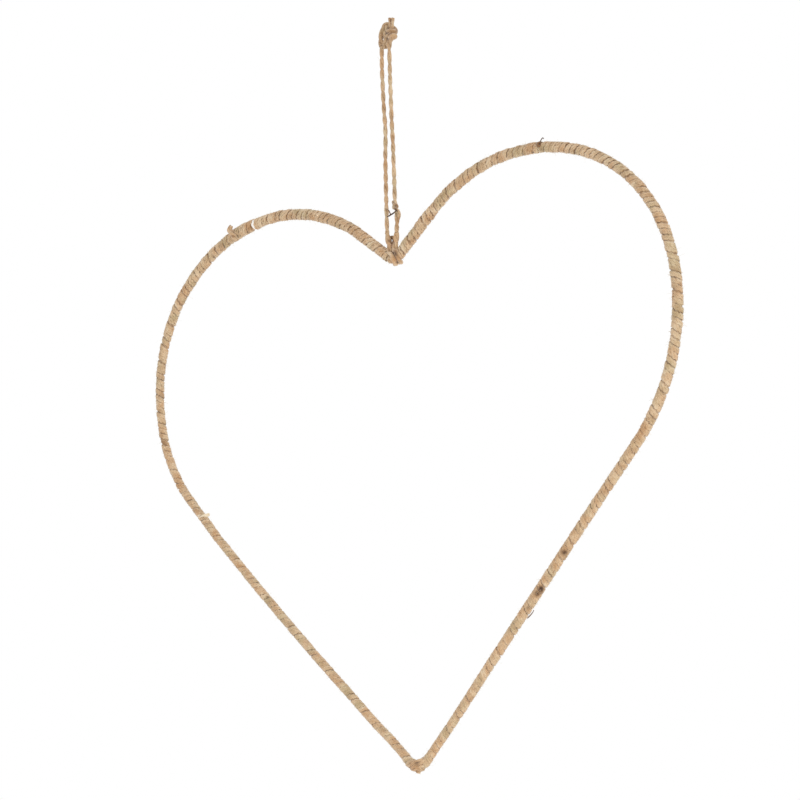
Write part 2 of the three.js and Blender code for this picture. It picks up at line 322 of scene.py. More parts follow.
def winding_radius(shape, outline, share):
    """Half the thickness over the winding at a share of the way round."""
    stations = [
        shape.notch_thickness,
        shape.right_top_thickness,
        shape.right_side_thickness,
        shape.right_arm_thickness,
        shape.tip_thickness,
        shape.left_arm_thickness,
        shape.left_side_thickness,
        shape.left_top_thickness,
    ]
    place = (share % 1.0) * len(stations)
    before = int(place)
    part = place - before
    part = part * part * (3 - 2 * part)
    base = stations[before] * (1 - part) + stations[(before + 1) % len(stations)] * part
    lump = TIP_LUMP * swelling((share - TIP_SHARE) * outline.length, TIP_LUMP_REACH)
    tail = TAIL_SWELL * swelling((share - TAIL_SHARE) * outline.length, TAIL_SWELL_REACH)
    return (base + lump + tail) / 2


def middle_at(outline, share):
    """The point of the winding's middle line at a share of the way round, with the bends of the hand."""
    point, outward = outline.at(share)
    bend = sum(out * swelling((share - at) * outline.length, reach * MM) for at, out, reach in HAND_BENDS)
    return point + outward * bend * MM


def tip_turns_line(shape, outline):
    """The line of the level turns round the tip: a helix that narrows downwards like a bowl."""
    middle = middle_at(outline, TIP_SHARE)
    centre = shape.axis_shift + TIP_TURNS_SHIFT
    steps = TIP_TURNS * 24
    line = []
    for k in range(steps + 1):
        down = k / steps
        angle = 2 * math.pi * TIP_TURNS * down
        x = TIP_TURNS_HALF_WIDTH * (1 - down) ** 0.75 * math.cos(angle)
        y = TIP_TURNS_HALF_DEPTH * math.sqrt(1 - down**2) * math.sin(angle)
        level = TIP_TURNS_TOP + (TIP_TURNS_BOTTOM - TIP_TURNS_TOP) * down
        line.append(Vector((centre + x, y, middle.z + level + TIP_TURNS_RISE * x)))
    return line


def bare_core(shape, outline):
    """The short stretch of the pale core that shows in the gap between two turns."""
    half = GAP_CORE_LENGTH / 2 / outline.length
    rings, sides = 9, 24
    vertices, faces = [], []
    for k in range(rings):
        share = GAP_SHARE + half * (2 * k / (rings - 1) - 1)
        middle, outward = middle_at(outline, share), outline.at(share)[1]
        radius = winding_radius(shape, outline, share) - GAP_CORE_DEPTH
        for j in range(sides):
            angle = 2 * math.pi * j / sides
            away = outward * math.cos(angle) + Vector((0, math.sin(angle), 0))
            vertices.append(middle + away * radius * (1 + 0.02 * math.sin(3 * angle + k)))
    for k in range(rings - 1):
        for j in range(sides):
            a, b = k * sides + j, k * sides + (j + 1) % sides
            faces.append((a, b, b + sides, a + sides))
    faces.append(tuple(reversed(range(sides))))
    faces.append(tuple(range((rings - 1) * sides, rings * sides)))
    mesh = bpy.data.meshes.new("bare_core")
    mesh.from_pydata(vertices, [], faces)
    piece = bpy.data.objects.new("bare_core", mesh)
    bpy.context.scene.collection.objects.link(piece)
    return piece


def smoothness_at(share):
    """How smooth the winding is: rough on the lobes, drawn flat and smooth on the lower arms."""
    return (0.5 - 0.5 * math.cos(2 * math.pi * share)) ** 1.5


def stain_at(outline, share):
    """How much paler or darker the twine is at a share of the way round."""
    return sum(tone * swelling((share - place) * outline.length, reach) for place, reach, tone in STAINS)


# Small dark places on the winding: millimetres, reach in millimetres, and how dark
SPOTS = [
    ((-110.0, -0.5, -79.2), 1.0, -1.1), ((-108.8, -2.6, -84.7), 1.1, -0.8),
    ((-115.0, -1.2, -87.8), 0.9, -0.9), ((97.0, -1.5, -78.0), 1.4, -1.1),
    ((98.1, -2.6, -82.3), 1.3, -0.6), ((-140.7, -1.5, -237.5), 0.9, -0.8),
    ((82.6, -2.2, -307.2), 1.3, -1.3), ((83.1, -1.2, -308.8), 1.0, -0.9),
    ((80.2, -2.4, -309.6), 1.2, -0.9), ((75.8, -1.0, -312.0), 1.1, -0.7),
    # The spot at (1.3, -3.5, -387.9) is painted shadow: the dark line where the left arm meets the tip's lump
    ((74.2, -2.2, -316.0), 1.0, -0.5), ((1.3, -3.5, -387.9), 1.6, -0.5),
    ((-150.0, -2.0, -118.4), 0.9, -0.6), ((-95.4, -2.0, -290.6), 0.9, -0.9),
    ((97.7, -2.0, -290.9), 1.2, -1.0),
]

# The same on the knots and the hitch: painted shadow between the strands and turns, and darker twine
LOOP_SPOTS = [
    ((2.1, -1.2, 13.2), 1.0, -0.6), ((2.8, -1.5, 10.6), 1.3, -0.8), ((2.0, -1.5, 7.9), 1.1, -0.9),
    ((2.6, -1.5, 5.5), 1.1, -0.7), ((5.4, -0.9, 14.7), 0.8, -0.5), ((4.6, -3.6, 6.6), 0.9, -0.5),
    ((7.0, -3.8, 6.4), 0.9, -0.6), ((9.0, -2.0, 6.4), 0.9, -0.6), ((5.2, -2.4, -91.3), 0.9, -0.9),
    ((4.0, -3.2, -93.1), 1.0, -0.9), ((1.0, -1.5, -89.0), 1.2, -0.5), ((4.5, -2.2, -103.4), 1.0, -0.4),
    ((-2.5, 0.0, -106.7), 1.4, -0.7), ((-1.2, -0.6, -109.1), 0.9, -0.7),
    ((-1.1, -0.8, -110.4), 0.9, -0.8), ((3.5, -4.6, -117.8), 1.5, -0.7),
]


def add_spots(mesh, spots):
    """Keeps how dark each vertex is from the small dark places near it, as the attribute spot."""
    places = np.empty(len(mesh.vertices) * 3, np.float32)
    mesh.vertices.foreach_get("co", places)
    places = places.reshape(-1, 3) / MM
    tone = np.zeros(len(places), np.float32)
    for place, reach, dark in spots:
        tone += dark * np.exp(-(((places - place) / reach) ** 2).sum(1))
    mesh.attributes.new("spot", "FLOAT", "POINT").data.foreach_set("value", tone)


# Geometry of the twine

PLY_OFFSET = 0.17  # each ply of the free twine, off its middle, as a share of the twine's diameter
PLY_RADIUS = 0.345  # and its radius
PLY_WAIST = 0.16  # share by which a ply of the winding is flatter than it is wide
TUCKED_TURNS = 0.3  # stretch at each end of a winding that dips under the next one
TUCK_DEPTH = 3.0 * MM  # for each turn of it
TWINE_STEP = 0.45 * MM


def maths(operation, *values, clamp=False):
    """Adds a math node to the tree that its sockets belong to."""
    tree = next(value.id_data for value in values if isinstance(value, bpy.types.NodeSocket))
    named = dict(enumerate(values))
    return add_node(tree, "ShaderNodeMath", named, operation=operation, use_clamp=clamp).outputs[0]


def plus(*values, clamp=False):
    return maths("ADD", *values, clamp=clamp)


def minus(*values):
    return maths("SUBTRACT", *values)


def times(*values, clamp=False):
    return maths("MULTIPLY", *values, clamp=clamp)


def over(*values):
    return maths("DIVIDE", *values)


def vectors(operation, *values):
    """Adds a vector math node to the tree that its sockets belong to."""
    tree = next(value.id_data for value in values if isinstance(value, bpy.types.NodeSocket))
    named = dict(zip((0, "Scale") if operation == "SCALE" else (0, 1), values))
    return add_node(tree, "ShaderNodeVectorMath", named, operation=operation).outputs[0]


def wander(tree, place, scale, seed, offset):
    """Smooth noise about zero, within a half up or down, along a place that is a number."""
    row = {0: times(place, scale), 1: plus(seed, offset)}
    spot = add_node(tree, "ShaderNodeCombineXYZ", row).outputs[0]
    noise = add_node(tree, "ShaderNodeTexNoise", {"Vector": spot, "Scale": 1.0, "Detail": 2.0}).outputs[0]
    return minus(noise, 0.5)


def rotated(tree, vector, axis, angle):
    """A vector turned round an axis."""
    inputs = {"Vector": vector, "Axis": axis, "Angle": angle}
    return add_node(tree, "ShaderNodeVectorRotate", inputs, rotation_type="AXIS_ANGLE").outputs[0]


def rows_of_points(tree, steps, strands):
    """Points for a number of strands, with the strand that each belongs to and its step along it."""
    points = add_node(tree, "GeometryNodePoints", {"Count": times(steps, strands)}).outputs[0]
    index = add_node(tree, "GeometryNodeInputIndex").outputs[0]
    strand = maths("FLOOR", over(plus(index, 0.5), steps))
    return points, strand, minus(index, times(strand, steps))


def swept(tree, curve, section, radius):
    """A closed tube of a section along curves, scaled by its radius at each point."""
    inputs = {"Curve": curve, "Profile Curve": section, "Scale": radius, "Fill Caps": True}
    return add_node(tree, "GeometryNodeCurveToMesh", inputs).outputs[0]


def stored(tree, geometry, name, value, kind="FLOAT"):
    """The geometry with a value kept on its points under a name."""
    return add_node(
        tree,
        "GeometryNodeStoreNamedAttribute",
        {"Geometry": geometry, "Name": name, "Value": value},
        data_type=kind,
        domain="POINT",
    ).outputs[0]


def recalled(tree, name, kind="FLOAT"):
    """A value kept on the points under a name."""
    return add_node(tree, "GeometryNodeInputNamedAttribute", {"Name": name}, data_type=kind).outputs[0]


def strand_section(tree, sides, waist=0.0):
    """A circle of radius one, narrowed across its waist by a share, its place kept as attribute ring."""
    circle = add_node(tree, "GeometryNodeCurvePrimitiveCircle", {"Resolution": sides, "Radius": 1.0})
    place = add_node(tree, "GeometryNodeInputPosition").outputs[0]
    narrowed = vectors("MULTIPLY", place, (1.0, 1.0 - waist, 1.0))
    shaped = add_node(
        tree, "GeometryNodeSetPosition", {"Geometry": circle.outputs[0], "Position": narrowed}
    ).outputs[0]
    return stored(tree, shaped, "ring", place, "FLOAT_VECTOR")


def guide_distance(tree, geometry):
    """Each point's distance from the nearest of a guide's edges, and the nearest place on it."""
    near = add_node(tree, "GeometryNodeProximity", {0: geometry}, target_element="EDGES").outputs
    return near["Distance"], near["Position"]


def winding_tree():
    """Two-ply twine wound round a stretch of a closed guide line, over an inner layer.

    The guide's attribute winding holds the outer radius in x, the stain in y and the smoothness in z.
    """
    tree, given, output = new_geometry_tree(
        "Jute Winding",
        {
            "Turns": ("NodeSocketFloat", 317.0),
            "First Turn": ("NodeSocketFloat", 0.0),
            "Turns Here": ("NodeSocketFloat", 158.5),
            "Steps": ("NodeSocketInt", 44),
            "Sides": ("NodeSocketInt", 9),
            "Strand Radius": ("NodeSocketFloat", 0.95 * MM),
            "Strand Spread": ("NodeSocketFloat", 0.82 * MM),
            "Pinch": ("NodeSocketFloat", 0.5),
            "Flattening": ("NodeSocketFloat", 0.3),
            "Twists Per Turn": ("NodeSocketFloat", 3.5),
            "Twist Drift": ("NodeSocketFloat", 2.4),
            "Crowding": ("NodeSocketFloat", 1.3),
            "Lean": ("NodeSocketFloat", 0.7 * MM),
            "Lean Change": ("NodeSocketFloat", 2.6 * MM),
            "Unevenness": ("NodeSocketFloat", 1.1 * MM),
            "Gap Turn": ("NodeSocketFloat", 284.25),
            "Gap Turns": ("NodeSocketFloat", 0.3),
            "Seed": ("NodeSocketFloat", 7.0),
            "Material": ("NodeSocketMaterial", None),
        },
    )
    seed = given["Seed"]
    guide = add_node(tree, "GeometryNodeMeshToCurve", {0: given["Geometry"]}).outputs[0]
    count = maths("ROUND", times(given["Turns Here"], given["Steps"]))
    points, strand, step = rows_of_points(tree, count, 2.0)
    here = over(step, given["Steps"])
    turn = plus(here, given["First Turn"])
    own = plus(turn, times(strand, 500.0))

    # Where along the guide the turn lies: crowded here and there, and parted at the gap
    crowded = plus(turn, times(wander(tree, turn, 0.45, seed, 3.0), given["Crowding"]))
    past_gap = minus(turn, given["Gap Turn"])
    side = maths("MINIMUM", maths("MAXIMUM", times(past_gap, 9.0), -1.0), 1.0)
    fading = maths("EXPONENT", times(maths("ABSOLUTE", past_gap), -0.4))
    push = times(times(side, fading), given["Gap Turns"])
    share = over(plus(crowded, push), given["Turns"])
    share = add_node(tree, "ShaderNodeClamp", {0: share}).outputs[0]
    sample = add_node(
        tree,
        "GeometryNodeSampleCurve",
        {"Curves": guide, "Value": recalled(tree, "winding", "FLOAT_VECTOR"), "Factor": share},
        data_type="FLOAT_VECTOR",
        mode="FACTOR",
    ).outputs
    facts = add_node(tree, "ShaderNodeSeparateXYZ", {0: sample["Value"]}).outputs
    along = sample["Tangent"]
    outwards = vectors("CROSS_PRODUCT", along, (0.0, 1.0, 0.0))
    away = rotated(tree, outwards, along, times(turn, -2 * math.pi))

    # The twist draws the two plies together at every half twist, and each wavers and swells on its own
    drift = times(wander(tree, turn, 0.12, seed, 53.0), given["Twist Drift"])
    twisted = plus(times(turn, given["Twists Per Turn"]), drift)
    drawn = plus(maths("COSINE", times(twisted, 4 * math.pi)), 1.0)
    drawn = times(drawn, times(given["Pinch"], -0.5))
    thick = plus(times(wander(tree, own, 3.1, seed, 31.0), 0.5), 1.0)
    radius = times(given["Strand Radius"], thick)
    swerve = times(wander(tree, own, 2.3, seed, 47.0), 1.0)
    apart = plus(minus(times(strand, 2.0), 1.0), swerve)
    sideways = times(times(apart, plus(drawn, 1.0)), given["Strand Spread"])
    angle = times(turn, 2 * math.pi)
    for operation, offset, always in (("SINE", 61.0, 0.0), ("COSINE", 67.0, given["Lean"])):
        lean = times(wander(tree, turn, 0.21, seed, offset), given["Lean Change"])
        lean = plus(lean, always)
        sideways = plus(sideways, times(maths(operation, angle), lean))
    surface = vectors("ADD", sample["Position"], vectors("SCALE", away, facts[0]))
    lumps = add_node(
        tree, "ShaderNodeTexNoise", {"Vector": surface, "Scale": LUMPS_PER_METRE, "Detail": 1.0}
    ).outputs[0]
    swollen = times(wander(tree, own, 1.7, seed, 17.0), 0.3)
    bulge = plus(minus(lumps, 0.5), swollen)
    rough = minus(1.0, times(facts[2], 0.65))
    bulge = times(times(bulge, given["Unevenness"]), rough)
    outer = plus(facts[0], bulge)
    to_end = maths("MINIMUM", here, minus(given["Turns Here"], here))
    tucked = times(maths("MAXIMUM", minus(TUCKED_TURNS, to_end), 0.0), TUCK_DEPTH)
    height = minus(minus(outer, radius), tucked)
    place = vectors("ADD", sample["Position"], vectors("SCALE", along, sideways))
    place = vectors("ADD", place, vectors("SCALE", away, height))
    laid = add_node(tree, "GeometryNodeSetPosition", {"Geometry": points, "Position": place}).outputs[0]
    run = add_node(tree, "ShaderNodeCombineXYZ", {0: own, 1: facts[1], 2: outer}).outputs[0]
    laid = stored(tree, laid, "run", run, "FLOAT_VECTOR")
    laid = stored(tree, laid, "thick", radius)
    laid = stored(tree, laid, "smoothness", facts[2])
    strands = add_node(tree, "GeometryNodePointsToCurves", {0: laid, 1: strand}).outputs[0]
    twist = plus(twisted, wander(tree, own, 0.6, seed, 9.0))
    strands = add_node(
        tree,
        "GeometryNodeSetCurveTilt",
        {"Curve": strands, "Tilt": times(twist, 2 * math.pi)},
    ).outputs[0]
    twine = swept(tree, strands, strand_section(tree, given["Sides"], PLY_WAIST), recalled(tree, "thick"))

    # The pull of the winding presses the twine flat
    distance, nearest = guide_distance(tree, given["Geometry"])
    level = add_node(tree, "ShaderNodeSeparateXYZ", {0: recalled(tree, "run", "FLOAT_VECTOR")}).outputs[2]
    depth = minus(level, distance)
    spot = add_node(tree, "GeometryNodeInputPosition").outputs[0]
    outward = vectors("SUBTRACT", spot, nearest)
    pressed = plus(given["Flattening"], times(recalled(tree, "smoothness"), 0.3))
    raised = times(over(depth, distance), pressed)
    twine = add_node(
        tree,
        "GeometryNodeSetPosition",
        {"Geometry": twine, "Offset": vectors("SCALE", outward, raised)},
    ).outputs[0]
    # Painted shade: how deep each place lies below the winding's outer surface, kept as groove, which the
    # material paints dark
    distance, _ = guide_distance(tree, given["Geometry"])
    depth = minus(level, distance)
    groove = over(depth, times(given["Strand Radius"], 0.6))
    twine = stored(tree, twine, "groove", groove)

    # The inner layer
    first = over(given["First Turn"], given["Turns"])
    last = over(plus(given["First Turn"], given["Turns Here"]), given["Turns"])
    stretch = add_node(
        tree, "GeometryNodeTrimCurve", {"Curve": guide, 2: first, 3: last}, mode="FACTOR"
    ).outputs[0]
    full = add_node(tree, "ShaderNodeSeparateXYZ", {0: recalled(tree, "winding", "FLOAT_VECTOR")}).outputs
    inner = minus(full[0], times(given["Strand Radius"], 0.7))
    layer = swept(tree, stretch, strand_section(tree, 12), inner)
    # Painted shade: the inner layer counts as deep in the grooves, so where it shows between turns it is
    # painted dark
    layer = stored(tree, layer, "groove", 0.85)
    layer_run = add_node(tree, "ShaderNodeCombineXYZ", {1: full[1], 2: full[0]}).outputs[0]
    layer = stored(tree, layer, "run", layer_run, "FLOAT_VECTOR")
    layer = stored(tree, layer, "smoothness", full[2])

    both = add_node(tree, "GeometryNodeJoinGeometry", {0: twine})
    tree.links.new(layer, both.inputs[0])
    smooth = add_node(tree, "GeometryNodeSetShadeSmooth", {0: both.outputs[0]}).outputs[0]
    return put_out(tree, output, smooth, given["Material"])


def laid_twine_tree():
    """Plies of twine that turn round each other along an open guide line."""
    tree, given, output = new_geometry_tree(
        "Laid Twine",
        {
            "Steps": ("NodeSocketInt", 200),
            "Sides": ("NodeSocketInt", 12),
            "Plies": ("NodeSocketInt", 2),
            "Diameter": ("NodeSocketFloat", 2.4 * MM),
            "Twists": ("NodeSocketFloat", 8.0),
            "Stain": ("NodeSocketFloat", 0.0),
            "Smoothness": ("NodeSocketFloat", 0.0),
            "Seed": ("NodeSocketFloat", 3.0),
            "Material": ("NodeSocketMaterial", None),
        },
    )
    guide = add_node(tree, "GeometryNodeMeshToCurve", {0: given["Geometry"]}).outputs[0]
    points, ply, step = rows_of_points(tree, given["Steps"], given["Plies"])
    share = over(step, minus(given["Steps"], 1.0))
    sample = add_node(
        tree,
        "GeometryNodeSampleCurve",
        {"Curves": guide, "Factor": share},
        data_type="FLOAT",
        mode="FACTOR",
    ).outputs
    seed = plus(given["Seed"], times(ply, 13.0))
    twists = times(share, given["Twists"])
    loosened = plus(twists, times(wander(tree, twists, 1.3, given["Seed"], 5.0), 0.5))
    turned = plus(loosened, over(ply, given["Plies"]))
    away = rotated(tree, sample["Normal"], sample["Tangent"], times(turned, -2 * math.pi))
    offset = vectors("SCALE", away, times(given["Diameter"], PLY_OFFSET))
    place = vectors("ADD", sample["Position"], offset)
    laid = add_node(tree, "GeometryNodeSetPosition", {"Geometry": points, "Position": place}).outputs[0]
    swell = plus(times(wander(tree, twists, 1.7, seed, 0.0), 0.45), 1.0)
    radius = times(times(given["Diameter"], PLY_RADIUS), swell)
    run = add_node(tree, "ShaderNodeCombineXYZ", {0: twists, 1: given["Stain"]}).outputs[0]
    laid = stored(tree, laid, "run", run, "FLOAT_VECTOR")
    laid = stored(tree, laid, "thick", radius)
    plies = add_node(tree, "GeometryNodePointsToCurves", {0: laid, 1: ply}).outputs[0]
    twine = swept(tree, plies, strand_section(tree, given["Sides"]), recalled(tree, "thick"))
    # Painted shade: places near the twine's middle line, between its plies, count as deep in the groove and
    # are painted dark
    distance, _ = guide_distance(tree, given["Geometry"])
    groove = times(minus(1.0, over(distance, times(given["Diameter"], 0.5))), 2.2)
    twine = stored(tree, twine, "groove", groove)
    twine = stored(tree, twine, "smoothness", given["Smoothness"])
    smooth = add_node(tree, "GeometryNodeSetShadeSmooth", {0: twine}).outputs[0]
    return put_out(tree, output, smooth, given["Material"])


def fuzz_tree():
    """Short bent fibres that stand off a surface here and there."""
    tree, given, output = new_geometry_tree(
        "Jute Fuzz",
        {
            "Density": ("NodeSocketFloat", 60000.0),
            "Fibre Length": ("NodeSocketFloat", 3.2 * MM),
            "Fibre Radius": ("NodeSocketFloat", 0.03 * MM),
            "Bends": ("NodeSocketInt", 4),
            "Seed": ("NodeSocketInt", 5),
            "Material": ("NodeSocketMaterial", None),
        },
    )
    scatter = add_node(
        tree,
        "GeometryNodeDistributePointsOnFaces",
        {"Mesh": given["Geometry"], "Density": given["Density"], "Seed": given["Seed"]},
        distribute_method="RANDOM",
    )
    bend = add_node(
        tree,
        "GeometryNodeCurveQuadraticBezier",
        {
            "Resolution": given["Bends"],
            "Start": (0, 0, 0),
            "Middle": (0.5, 0.0, 0.06),
            "End": (0.9, 0.25, 0.34),
        },
    )
    thin = over(given["Fibre Radius"], given["Fibre Length"])
    section = add_node(tree, "GeometryNodeCurvePrimitiveCircle", {"Resolution": 3, "Radius": thin})
    fibre = add_node(
        tree,
        "GeometryNodeCurveToMesh",
        {"Curve": bend.outputs[0], "Profile Curve": section.outputs[0], "Fill Caps": True},
    ).outputs[0]
    spin = add_node(
        tree,
        "FunctionNodeRandomValue",
        {0: (0.0, 0.0, 0.0), 1: (0.5, 0.5, 2 * math.pi), "Seed": given["Seed"]},
        data_type="FLOAT_VECTOR",
    ).outputs[0]
    turned = add_node(
        tree,
        "FunctionNodeRotateRotation",
        {
            0: scatter.outputs["Rotation"],
            1: add_node(tree, "FunctionNodeEulerToRotation", {0: spin}).outputs[0],
        },
        rotation_space="LOCAL",
    ).outputs[0]
    stretch = add_node(
        tree, "FunctionNodeRandomValue", {2: 0.35, 3: 1.15, "Seed": given["Seed"]}, data_type="FLOAT"
    ).outputs[1]
    size = times(stretch, given["Fibre Length"])
    fibres = add_node(
        tree,
        "GeometryNodeInstanceOnPoints",
        {"Points": scatter.outputs["Points"], "Instance": fibre, "Rotation": turned, "Scale": size},
    ).outputs[0]
    return put_out(tree, output, fibres, given["Material"])


# Materials

FIBRE_TWIST = 9.0  # radians that the fibres of a ply turn in one turn of the winding, 14 mm of twine


def new_material(name):
    """An empty material and its node tree."""
    material = bpy.data.materials.new(name)
    material.use_nodes = True
    material.node_tree.nodes.clear()
    return material, material.node_tree


def add_surface(tree, inputs):
    """Ends a material with a surface of these inputs."""
    shader = add_node(tree, "ShaderNodeBsdfPrincipled", inputs)
    add_node(tree, "ShaderNodeOutputMaterial", {0: shader.outputs[0]})


def jute_material(name, looks, tone_shift=0.0):
    """Spun jute: dull woody bast fibres, laid side by side and twisted.

    The fibres show as fine streaks along each ply. The stalks' bark leaves dark flecks, the tone drifts from
    straw to brown and to a dull olive from one hank of fibre to the next, and the grooves between the turns,
    where hardly any light gets in, are painted dark as shade. Stray fibres give a soft edge, which the sheen
    stands for.
    """
    material, tree = new_material(name)

    def noise(place, scale, detail=2.0):
        return add_node(
            tree, "ShaderNodeTexNoise", {"Vector": place, "Scale": scale, "Detail": detail}
        ).outputs[0]

    def blend(share, below, above):
        return add_node(tree, "ShaderNodeMix", {0: share, 6: below, 7: above}, data_type="RGBA").outputs[2]

    def ramp(value, low, high, most=1.0):
        return add_node(
            tree, "ShaderNodeMapRange", {"Value": value, "From Min": low, "From Max": high, "To Max": most}
        ).outputs[0]

    ring = add_node(tree, "ShaderNodeAttribute", attribute_name="ring").outputs["Vector"]
    run = add_node(tree, "ShaderNodeAttribute", attribute_name="run").outputs["Vector"]
    groove = add_node(tree, "ShaderNodeAttribute", attribute_name="groove").outputs["Fac"]
    turn, turn_stain, _ = add_node(tree, "ShaderNodeSeparateXYZ", {0: run}).outputs
    spots = add_node(tree, "ShaderNodeAttribute", attribute_name="spot").outputs["Fac"]
    smooth = add_node(tree, "ShaderNodeAttribute", attribute_name="smoothness").outputs["Fac"]
    # The spots, partly painted shadow, darken the tone along with the stains
    stain = plus(turn_stain, spots)
    place = add_node(tree, "ShaderNodeTexCoord").outputs["Object"]

    # Fibres lie along the ply and twist round it: about fifteen streaks round a ply, 5 mm long
    spun = rotated(tree, ring, (0.0, 0.0, 1.0), times(turn, FIBRE_TWIST))
    lengthwise = add_node(tree, "ShaderNodeCombineXYZ", {2: times(turn, 4.0)}).outputs[0]
    spot = vectors("ADD", spun, lengthwise)
    streaks = noise(spot, 2.6, 3.0)
    flecks = noise(spot, 1.3, 1.0)

    # From turn to turn, and in patches 5 mm and 25 mm across
    by_turn = add_node(tree, "ShaderNodeCombineXYZ", {0: times(turn, 1.3)}).outputs[0]
    tone = plus(plus(streaks, noise(by_turn, 1.0)), noise(place, 200.0))
    tone = times(minus(tone, 1.5 - tone_shift), 1.5)
    tone = plus(tone, stain)
    patch = noise(place, 40.0, 1.0)
    hue = noise(place, 130.0)

    coloured = blend(ramp(hue, 0.48, 0.7, 0.75), tuple(looks.jute), tuple(looks.jute_warm))
    coloured = blend(ramp(hue, 0.5, 0.3, 0.6), coloured, tuple(looks.jute_olive))
    coloured = blend(plus(tone, 0.0, clamp=True), coloured, tuple(looks.jute_pale))
    coloured = blend(times(tone, -0.8, clamp=True), coloured, tuple(looks.jute_dark_and_shade))
    coloured = blend(ramp(patch, 0.55, 0.8, 0.35), coloured, tuple(looks.jute_warm))
    coloured = blend(ramp(flecks, 0.70, 0.78, 0.6), coloured, tuple(looks.jute_dark_and_shade))
    # Painted shade: the deeper a place lies in a groove between turns or plies, the darker it is painted,
    # with noise in how dark; less on the smooth lower arms
    depth = plus(groove, times(minus(noise(place, 330.0), 0.5), 2.4))
    shown = minus(1.0, times(smooth, 0.6))
    shaded = times(ramp(depth, 0.45, 1.2, 0.85), shown)
    coloured = blend(shaded, coloured, tuple(looks.jute_dark_and_shade))
    # Bark colour paints the darkest stained turns and the spots, which are partly bark and stains and partly
    # painted shadow
    stained_dark = minus(times(turn_stain, -1.0), 1.2)
    bark_and_shadow_spots = maths("MAXIMUM", times(spots, -0.9), stained_dark)
    coloured = blend(plus(bark_and_shadow_spots, 0.0, clamp=True), coloured, tuple(looks.bark))
    bump = add_node(
        tree, "ShaderNodeBump", {"Height": streaks, "Strength": 0.6, "Distance": 0.1 * MM}
    ).outputs[0]
    add_surface(
        tree,
        {
            "Base Color": coloured,
            "Roughness": 0.9,
            "IOR": 1.5,
            "Specular IOR Level": 0.2,
            "Sheen Weight": 0.5,
            "Sheen Roughness": 0.5,
            "Normal": bump,
        },
    )
    return material


def mottled_material(base_colour, grain, detail, tones, name, finish):
    """One colour whose tone changes from place to place, between two shares of it."""
    material, tree = new_material(name)
    place = add_node(tree, "ShaderNodeTexCoord").outputs["Object"]
    mottle = {"Vector": place, "Scale": grain, "Detail": detail}
    tone = add_node(tree, "ShaderNodeTexNoise", mottle).outputs[0]
    shade = add_node(
        tree, "ShaderNodeMapRange", {"Value": tone, "To Min": tones[0], "To Max": tones[1]}
    ).outputs[0]
    tinted = vectors("SCALE", tuple(base_colour)[:3], shade)
    add_surface(tree, {"Base Color": tinted, **finish})
    return material


def fibre_material(base_colour):
    """Loose jute fibre: a single flat bast fibre, dull, with its tone changing along its length."""
    finish = {"Roughness": 0.85, "Specular IOR Level": 0.25}
    return mottled_material(base_colour, 900.0, 1.0, (0.75, 1.2), "stray_jute_fibre", finish)


def core_material(base_colour):
    """White paper wrapped round the core: dull, thin and creased, so its tone changes every millimetre."""
    finish = {"Roughness": 0.85, "Specular IOR Level": 0.25}
    return mottled_material(base_colour, 900.0, 1.0, (0.75, 1.2), "white_core_paper", finish)


def plaster_material(base_colour):
    """Matt white emulsion on a smooth floor: an even, dull, very slightly mottled white."""
    return mottled_material(base_colour, 3.0, 2.0, (0.98, 1.0), "matt_white_floor", {"Roughness": 0.9})


# Routes of the loop's twine, as listed points, in millimetres

LEFT_STRAND = [
    (-3.6, -1.4, -104.6), (-3.7, -1.2, -100.0), (-3.8, -0.9, -94.3), (-3.9, -0.6, -87.5),
    (-3.9, -0.3, -78.6), (-3.8, 0.0, -69.2), (-3.5, 0.0, -60.3), (-2.9, 0.0, -51.9), (-2.7, 0.0, -44.0),
    (-3.0, 0.0, -35.9), (-3.1, 0.0, -27.8), (-3.1, 0.0, -19.8), (-3.1, 0.0, -11.7), (-2.8, 0.0, -4.3),
    (-2.6, 0.0, 2.0),
]
RIGHT_STRAND = [
    (2.7, -1.4, -105.4), (3.0, -1.3, -101.8), (3.1, -1.2, -98.2), (3.1, -1.0, -94.3),
    (2.5, -0.9, -90.6), (2.0, -0.6, -86.0), (1.9, -0.3, -79.1), (1.8, 0.0, -71.1), (1.9, 0.0, -62.7),
    (2.0, 0.0, -54.2), (1.9, 0.0, -45.1), (1.9, 0.0, -35.9), (2.0, 0.0, -27.4), (2.1, 0.0, -18.8),
    (2.3, 0.0, -10.7), (2.4, 0.0, -3.8), (2.4, 0.0, 0.4),
]
LEFT_END_IN_KNOT = [
    (-2.6, 0.0, 2.0), (-3.1, 0.1, 5.7), (-2.5, 0.2, 8.7), (-1.6, 0.5, 11.8), (-0.8, 0.8, 13.6),
    (0.4, 1.8, 14.3), (2.4, 2.6, 13.2), (5.5, 1.6, 10.3), (7.2, -0.4, 7.8), (6.3, -1.9, 7.7),
    (3.9, -1.5, 8.8), (1.7, 0.2, 9.4),
]
RIGHT_END_IN_KNOT = [
    (2.4, 0.0, 0.4), (2.7, 0.0, 3.0), (4.5, -0.4, 4.2), (6.9, -1.2, 4.5), (8.2, -2.0, 5.1),
    (7.0, -2.6, 5.4), (4.1, -1.8, 5.9), (1.2, -0.4, 5.8), (-0.3, 0.4, 4.2), (-0.4, 0.4, 1.0),
]
LEFT_CUT_END = [(2.8, -0.3, 8.9), (3.9, -0.9, 11.4), (4.3, -0.6, 14.3), (4.1, -0.3, 16.6)]
RIGHT_CUT_END = [(4.8, -0.3, 8.7), (5.7, -0.6, 11.3), (5.9, -0.3, 13.9), (6.0, 0.0, 16.2)]
SMALL_KNOT = [
    (0.4, 0.3, -87.1), (1.7, -1.6, -89.6), (3.6, -2.4, -89.8), (3.6, -1.2, -90.5), (2.0, 0.5, -90.8),
    (0.4, 0.4, -90.7), (1.0, -1.0, -90.8), (3.4, -2.6, -92.2), (4.6, -2.2, -93.3), (5.0, -1.7, -94.9),
    (4.9, -1.5, -96.7), (4.1, -1.2, -98.4), (3.1, -1.0, -100.1),
]
